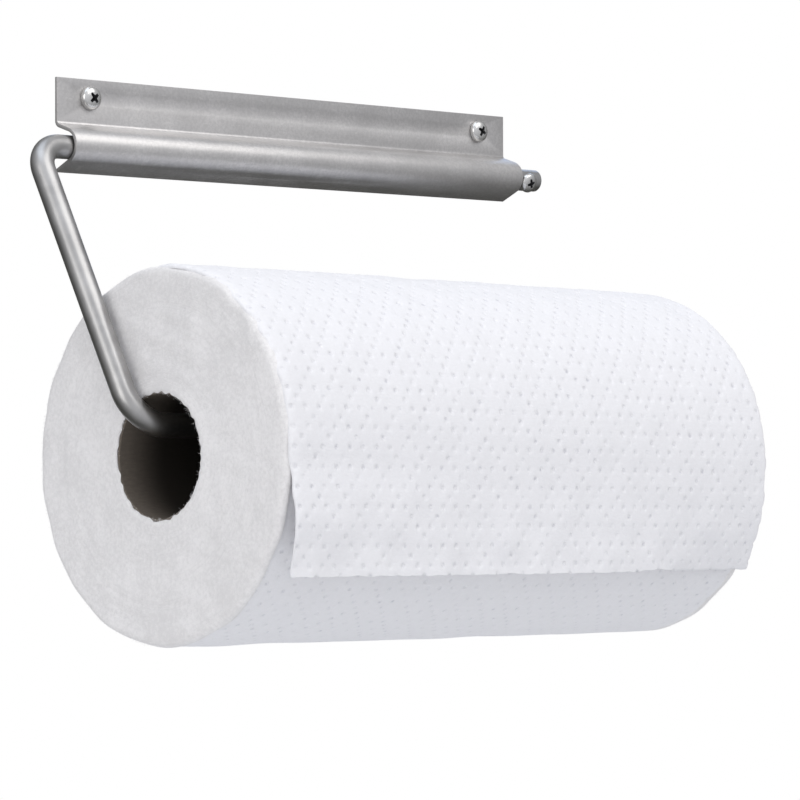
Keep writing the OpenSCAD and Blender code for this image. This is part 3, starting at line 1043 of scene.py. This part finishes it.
def build_sheet(s, material):
    """The loose sheet: over the roll's top, down its front, then hanging free."""
    fine_u, fine_v = s.dot_across / 4, math.tau * s.radius / s.dots_round / 4
    columns = int((s.width - 2 * s.inset) / fine_u / 2) * 2
    back_rows = int(s.wrap * s.radius / fine_v / 2) * 2
    hang_rows = int(s.hang / fine_v / 2) * 2
    first = round((s.width - columns * fine_u) / 2 / fine_u) * fine_u
    u = first + np.arange(columns + 1) * fine_u
    v = np.arange(-hang_rows, back_rows + 1) * fine_v
    front = sheet_surface(s, u, v, s.paper)
    back = sheet_surface(s, u, v, 0.0)[::2, ::2]
    (nf, mf), (nb, mb) = front.shape[:2], back.shape[:2]
    F = np.arange(nf * mf).reshape(nf, mf)
    B = nf * mf + np.arange(nb * mb).reshape(nb, mb)
    faces = [(F[i, j], F[i + 1, j], F[i + 1, j + 1], F[i, j + 1])
             for i in range(nf - 1) for j in range(mf - 1)]
    faces += [(B[i, j], B[i, j + 1], B[i + 1, j + 1], B[i + 1, j])
              for i in range(nb - 1) for j in range(mb - 1)]

    # The edges join two steps of the fine side to one of the coarse side.
    for j in range(mb - 1):
        faces.append((B[0, j], F[0, 2 * j], F[0, 2 * j + 1], F[0, 2 * j + 2], B[0, j + 1]))
        faces.append((B[-1, j + 1], F[-1, 2 * j + 2], F[-1, 2 * j + 1], F[-1, 2 * j], B[-1, j]))
    for i in range(nb - 1):
        faces.append((B[i + 1, 0], F[2 * i + 2, 0], F[2 * i + 1, 0], F[2 * i, 0], B[i, 0]))
        faces.append((B[i, -1], F[2 * i, -1], F[2 * i + 1, -1], F[2 * i + 2, -1], B[i + 1, -1]))
    where = np.concatenate([np.stack(np.meshgrid(x, y, indexing="ij"), -1).reshape(-1, 2)
                            for x, y in ((u, v), (u[::2], v[::2]))])
    points = np.concatenate([front.reshape(-1, 3), back.reshape(-1, 3)])
    return mapped_mesh("loose_sheet", points, faces, where[[k for f in faces for k in f]],
                       (material,), 70)


def build_core(s, material):
    """The cardboard tube, set a little back from the paper's faces, with softened cut edges."""
    steps, recess, fuzz, dent = 96, 0.8 * MM, 0.22 * MM, 0.06 * MM
    inner, outer = s.core, s.core + s.core_wall
    ring = [(recess + fuzz, outer), (recess, outer - fuzz), (recess, inner + fuzz),
            (recess + fuzz, inner)]
    stations = np.linspace(recess + fuzz, s.width - recess - fuzz, 40)[1:-1]
    profile = ring + [(a, inner) for a in stations]
    profile += [(s.width - a, r) for a, r in ring[::-1]]
    wobble = Wander(s.seed + 20, 30 * MM, 8, math.tau * inner)
    a, r = (np.array([p[i] for p in profile]) for i in (0, 1))
    A, T = np.meshgrid(a, np.arange(steps) * math.tau / steps, indexing="ij")
    R = r[:, None] + wobble(A, T * inner) * dent * (r[:, None] < outer - 0.3 * MM)
    bands = [(start, end, 0) for start, end in zip(a, np.roll(a, -1))]
    return sleeve("cardboard_core", in_row(A, R, T, s.width), bands, math.tau * inner / steps,
                  (material,), 40)


def build_lint(s, material):
    """Loose fibres round the hole, on the soft rim and over the wound faces."""
    by_hole, by_rim, on_face = 420, 1500, 500
    dice = np.random.default_rng(s.seed + 30)
    axis, up, forward = roll_space()
    points, outs = [], []

    def add(a, r, turn, out):
        points.append(in_row(a, r, turn, s.width))
        outs.append(out)

    def random_ray():
        turn = dice.uniform(0, math.tau)
        return turn, math.cos(turn) * forward + math.sin(turn) * up

    for a, face in ((0.2 * MM, -1), (s.width - 0.2 * MM, 1)):
        for _ in range(by_hole):
            turn, ray = random_ray()
            add(a, s.core + dice.uniform(0.4, 1.4) * MM, turn, -ray + 0.3 * face * axis)
        for _ in range(by_rim):
            turn, ray = random_ray()
            drop = dice.uniform(0, 1)
            add(a - face * drop * 1.6 * MM, s.radius - (0.9 + 2.2 * (1 - drop)) * MM, turn,
                ray + face * axis * (1.2 - drop))
        for _ in range(on_face):
            turn, _ = random_ray()
            r = math.sqrt(dice.uniform(s.core ** 2 * 1.3, (s.radius - 3 * MM) ** 2))
            add(a, r, turn, face * axis * 0.6 + dice.normal(0, 0.6, 3))
    guide = mesh_of("lint_guide", points, [])
    out = guide.attributes.new("out", "FLOAT_VECTOR", "POINT")
    out.data.foreach_set("vector", np.asarray(outs, np.float32).ravel())
    lint = lint_tree().run(guide, Fibre_length=1.3 * MM, Thickness=0.028, Seed=s.seed,
                           Material=material)
    lint.name = "paper_lint"
    return smooth(lint, 80)


# ---------------------------------------------------------------- operators


class TOWEL_OT_bracket(bpy.types.Operator):
    """Build the folded steel bracket and its two wall screws"""

    bl_idname = "towel.bracket"
    bl_label = "Bracket and wall screws"

    def execute(self, context):
        scene = context.scene
        steel = satin_steel(scene.towel_finishes.bracket)
        bright = bright_steel(scene.towel_finishes.screw)
        sheet = build_bracket(scene.towel_bracket_sizes, steel)
        keep("folded_bracket", sheet, "bracket", "bracket_steel", "mounting_bracket")
        for side in ("left", "right"):
            node = side + "_wall_screw"
            keep(side + "_pan_head_screw", wall_screw(side, bright), "bracket", "screw_steel", node)
        return {"FINISHED"}


class TOWEL_OT_rod(bpy.types.Operator):
    """Build the bent hanger rod and its retaining screw"""

    bl_idname = "towel.rod"
    bl_label = "Rod and retaining screw"

    def execute(self, context):
        scene = context.scene
        sizes = scene.towel_rod_sizes
        rod = build_rod(sizes, drawn_steel(scene.towel_finishes.rod))
        keep("bent_rod", rod, "rod", "rod_steel", "hanger_rod")
        bright = bpy.data.materials.get("bright_screw_steel") or bright_steel(
            scene.towel_finishes.screw)
        keep("rod_retaining_screw", build_keeper(sizes, bright), "rod", "screw_steel",
             "retaining_screw")
        return {"FINISHED"}


class TOWEL_OT_roll(bpy.types.Operator):
    """Build the cardboard core, the wound roll, its loose sheet and its lint"""

    bl_idname = "towel.roll"
    bl_label = "Roll of towels"

    def execute(self, context):
        sizes, looks = context.scene.towel_roll_sizes, context.scene.towel_finishes
        along = math.tau * sizes.radius / sizes.dots_round
        paper = towel_paper(looks.paper, looks.paper_shade, sizes.dot_across, along)
        ends = wound_edges(looks.end)
        card = core_board(looks.card, 95 * MM, math.tau * sizes.core, sizes.width)
        keep("core_tube", build_core(sizes, card), "core", "core_card", "cardboard_core")
        keep("wound_roll", build_roll(sizes, paper, ends), "paper", "towel_paper", "towel_roll")
        sheet = keep("hanging_sheet", build_sheet(sizes, paper), "paper", "towel_paper",
                     "loose_sheet")
        keep("paper_lint", build_lint(sizes, ends), "paper", "towel_paper")
        return {"FINISHED"}


class TOWEL_OT_stage(bpy.types.Operator):
    """Set the pale floor, the soft lights and the camera"""

    bl_idname = "towel.stage"
    bl_label = "Floor, lights and camera"

    def execute(self, context):
        build_floor(context.scene.towel_finishes.floor)
        build_lights()
        build_world(context.scene)
        build_camera(context.scene)
        return {"FINISHED"}


# ---------------------------------------------------------------- stage


def build_floor(shade):
    """A round pale floor that fades out at its rim."""
    drop, reach, fade_from, fade_to = 0.22, 1.2, 0.75, 1.15
    f = Finish("pale_floor", Roughness=0.85, Base_Color=tuple(shade))
    far = f.node("ShaderNodeVectorMath", {"operation": "LENGTH"}, f.place(), output="Value")
    f.feed(Alpha=1 - f.range(far, fade_from, fade_to, 0, 1))
    floor = lathe("floor", [(0, 0), (reach / 3, 0), (reach * 2 / 3, 0), (reach, 0)], 96,
                  f.material)
    for polygon in floor.polygons:
        if polygon.normal.z < 0:
            polygon.flip()
    floor.transform(Matrix.Translation((0, 0, CAD_BOX[0].z - drop)))
    piece = bpy.data.objects.new("floor", floor)
    bpy.context.scene.collection.objects.link(piece)
    piece.visible_glossy = False


def build_lights():
    """Soft boxes in front, above, at the side and behind: name, place, size, power and tint."""
    middle = Vector((0, -0.06, -0.11))
    for name, place, size, power, tint in (
            ("key_softbox", (0.35, -1.25, 1.35), (1.6, 1.3), 9.9, (1.0, 0.985, 0.965)),
            ("top_softbox", (-0.45, 0.15, 1.65), (1.6, 1.2), 6.3, (0.78, 0.87, 1.0)),
            ("side_softbox", (-1.7, -0.35, 0.35), (0.9, 1.1), 5.2, (1.0, 0.985, 0.97)),
            ("rear_softbox", (1.15, 0.95, 0.68), (1.0, 0.5), 2.2, (0.55, 0.70, 1.0))):
        light = bpy.data.lights.new(name, "AREA")
        light.shape = "RECTANGLE"
        light.size, light.size_y = size
        light.energy, light.color = power, tint
        lamp = bpy.data.objects.new(name, light)
        bpy.context.scene.collection.objects.link(lamp)
        lamp.location = place
        lamp.visible_camera = False
        lamp.rotation_euler = (middle - Vector(place)).to_track_quat("-Z", "Y").to_euler()


def build_world(scene):
    """A white room: plain white to look at, and a softer light that is stronger from the front."""
    front = Vector((-0.30, -0.62, 0.62)).normalized()
    dim, bright = (0.10, 0.10, 0.095), (0.86, 0.87, 0.91)
    world = bpy.data.worlds.new("studio")
    world.use_nodes = True
    scene.world = world
    w = ShaderTree(world.node_tree)
    w.nodes.clear()
    toward = w.node("ShaderNodeVectorMath", {"operation": "DOT_PRODUCT"}, w.place("Generated"),
                    front, output="Value")
    share = w.node("ShaderNodeMapRange", None, toward, -1.0, 1.0)
    shade = w.node("ShaderNodeValToRGB", {"stops": ((0.25, dim), (1.0, bright))}, share)
    glow = w.node("ShaderNodeBackground", None, shade)
    seen = w.node("ShaderNodeBackground", None, (1, 1, 1))
    looked_at = w.node("ShaderNodeLightPath", output="Is Camera Ray")
    mix = w.node("ShaderNodeMixShader", None, looked_at, glow, seen)
    w.node("ShaderNodeOutputWorld", None, mix, output=None)
    scene.view_settings.view_transform = "Standard"


def build_camera(scene):
    """A long lens, level with the roll, that looks at the holder's left front."""
    azimuth, elevation, roll = (math.radians(x) for x in (-44.783, -0.71, -0.212))
    place = Vector((-1.013407, -1.085019, -0.137251))
    back = Vector((math.sin(azimuth) * math.cos(elevation),
                   -math.cos(azimuth) * math.cos(elevation), math.sin(elevation)))
    level = (-back).cross(Vector((0, 0, 1))).normalized()
    above = level.cross(-back)
    right = math.cos(roll) * level + math.sin(roll) * above
    up = -math.sin(roll) * level + math.cos(roll) * above
    data = bpy.data.cameras.new("camera")
    data.sensor_width, data.lens = 36, 159.887
    data.clip_start, data.clip_end = 0.05, 50
    camera = bpy.data.objects.new("camera", data)
    scene.collection.objects.link(camera)
    columns = [(*right, 0), (*up, 0), (*back, 0), (*place, 1)]
    camera.matrix_world = Matrix(columns).transposed()
    scene.camera = camera


# ---------------------------------------------------------------- panel and registration

STEPS = (TOWEL_OT_bracket, TOWEL_OT_rod, TOWEL_OT_roll, TOWEL_OT_stage)
SIZES = {"towel_bracket_sizes": BracketSizes, "towel_rod_sizes": RodSizes,
         "towel_roll_sizes": RollSizes, "towel_finishes": FinishColours}


class TOWEL_PT_panel(bpy.types.Panel):
    """Sizes, colours and build steps of the towel holder"""

    bl_idname = "TOWEL_PT_panel"
    bl_label = "Towel holder"
    bl_space_type = "VIEW_3D"
    bl_region_type = "UI"
    bl_category = "Towel holder"

    def draw(self, context):
        for step in STEPS:
            self.layout.operator(step.bl_idname)
        for name, group in SIZES.items():
            box = self.layout.box()
            box.label(text=group.__doc__)
            for prop in group.__annotations__:
                box.prop(getattr(context.scene, name), prop)


def register():
    for group in (*SIZES.values(), *STEPS, TOWEL_PT_panel):
        bpy.utils.register_class(group)
    for name, group in SIZES.items():
        setattr(bpy.types.Scene, name, PointerProperty(type=group))


def unregister():
    for name in SIZES:
        delattr(bpy.types.Scene, name)
    for group in (TOWEL_PT_panel, *STEPS[::-1], *list(SIZES.values())[::-1]):
        bpy.utils.unregister_class(group)


def main():
    register()
    for step in STEPS:
        group, name = step.bl_idname.split(".")
        getattr(getattr(bpy.ops, group), name)()


if __name__ == "__main__":
    main()
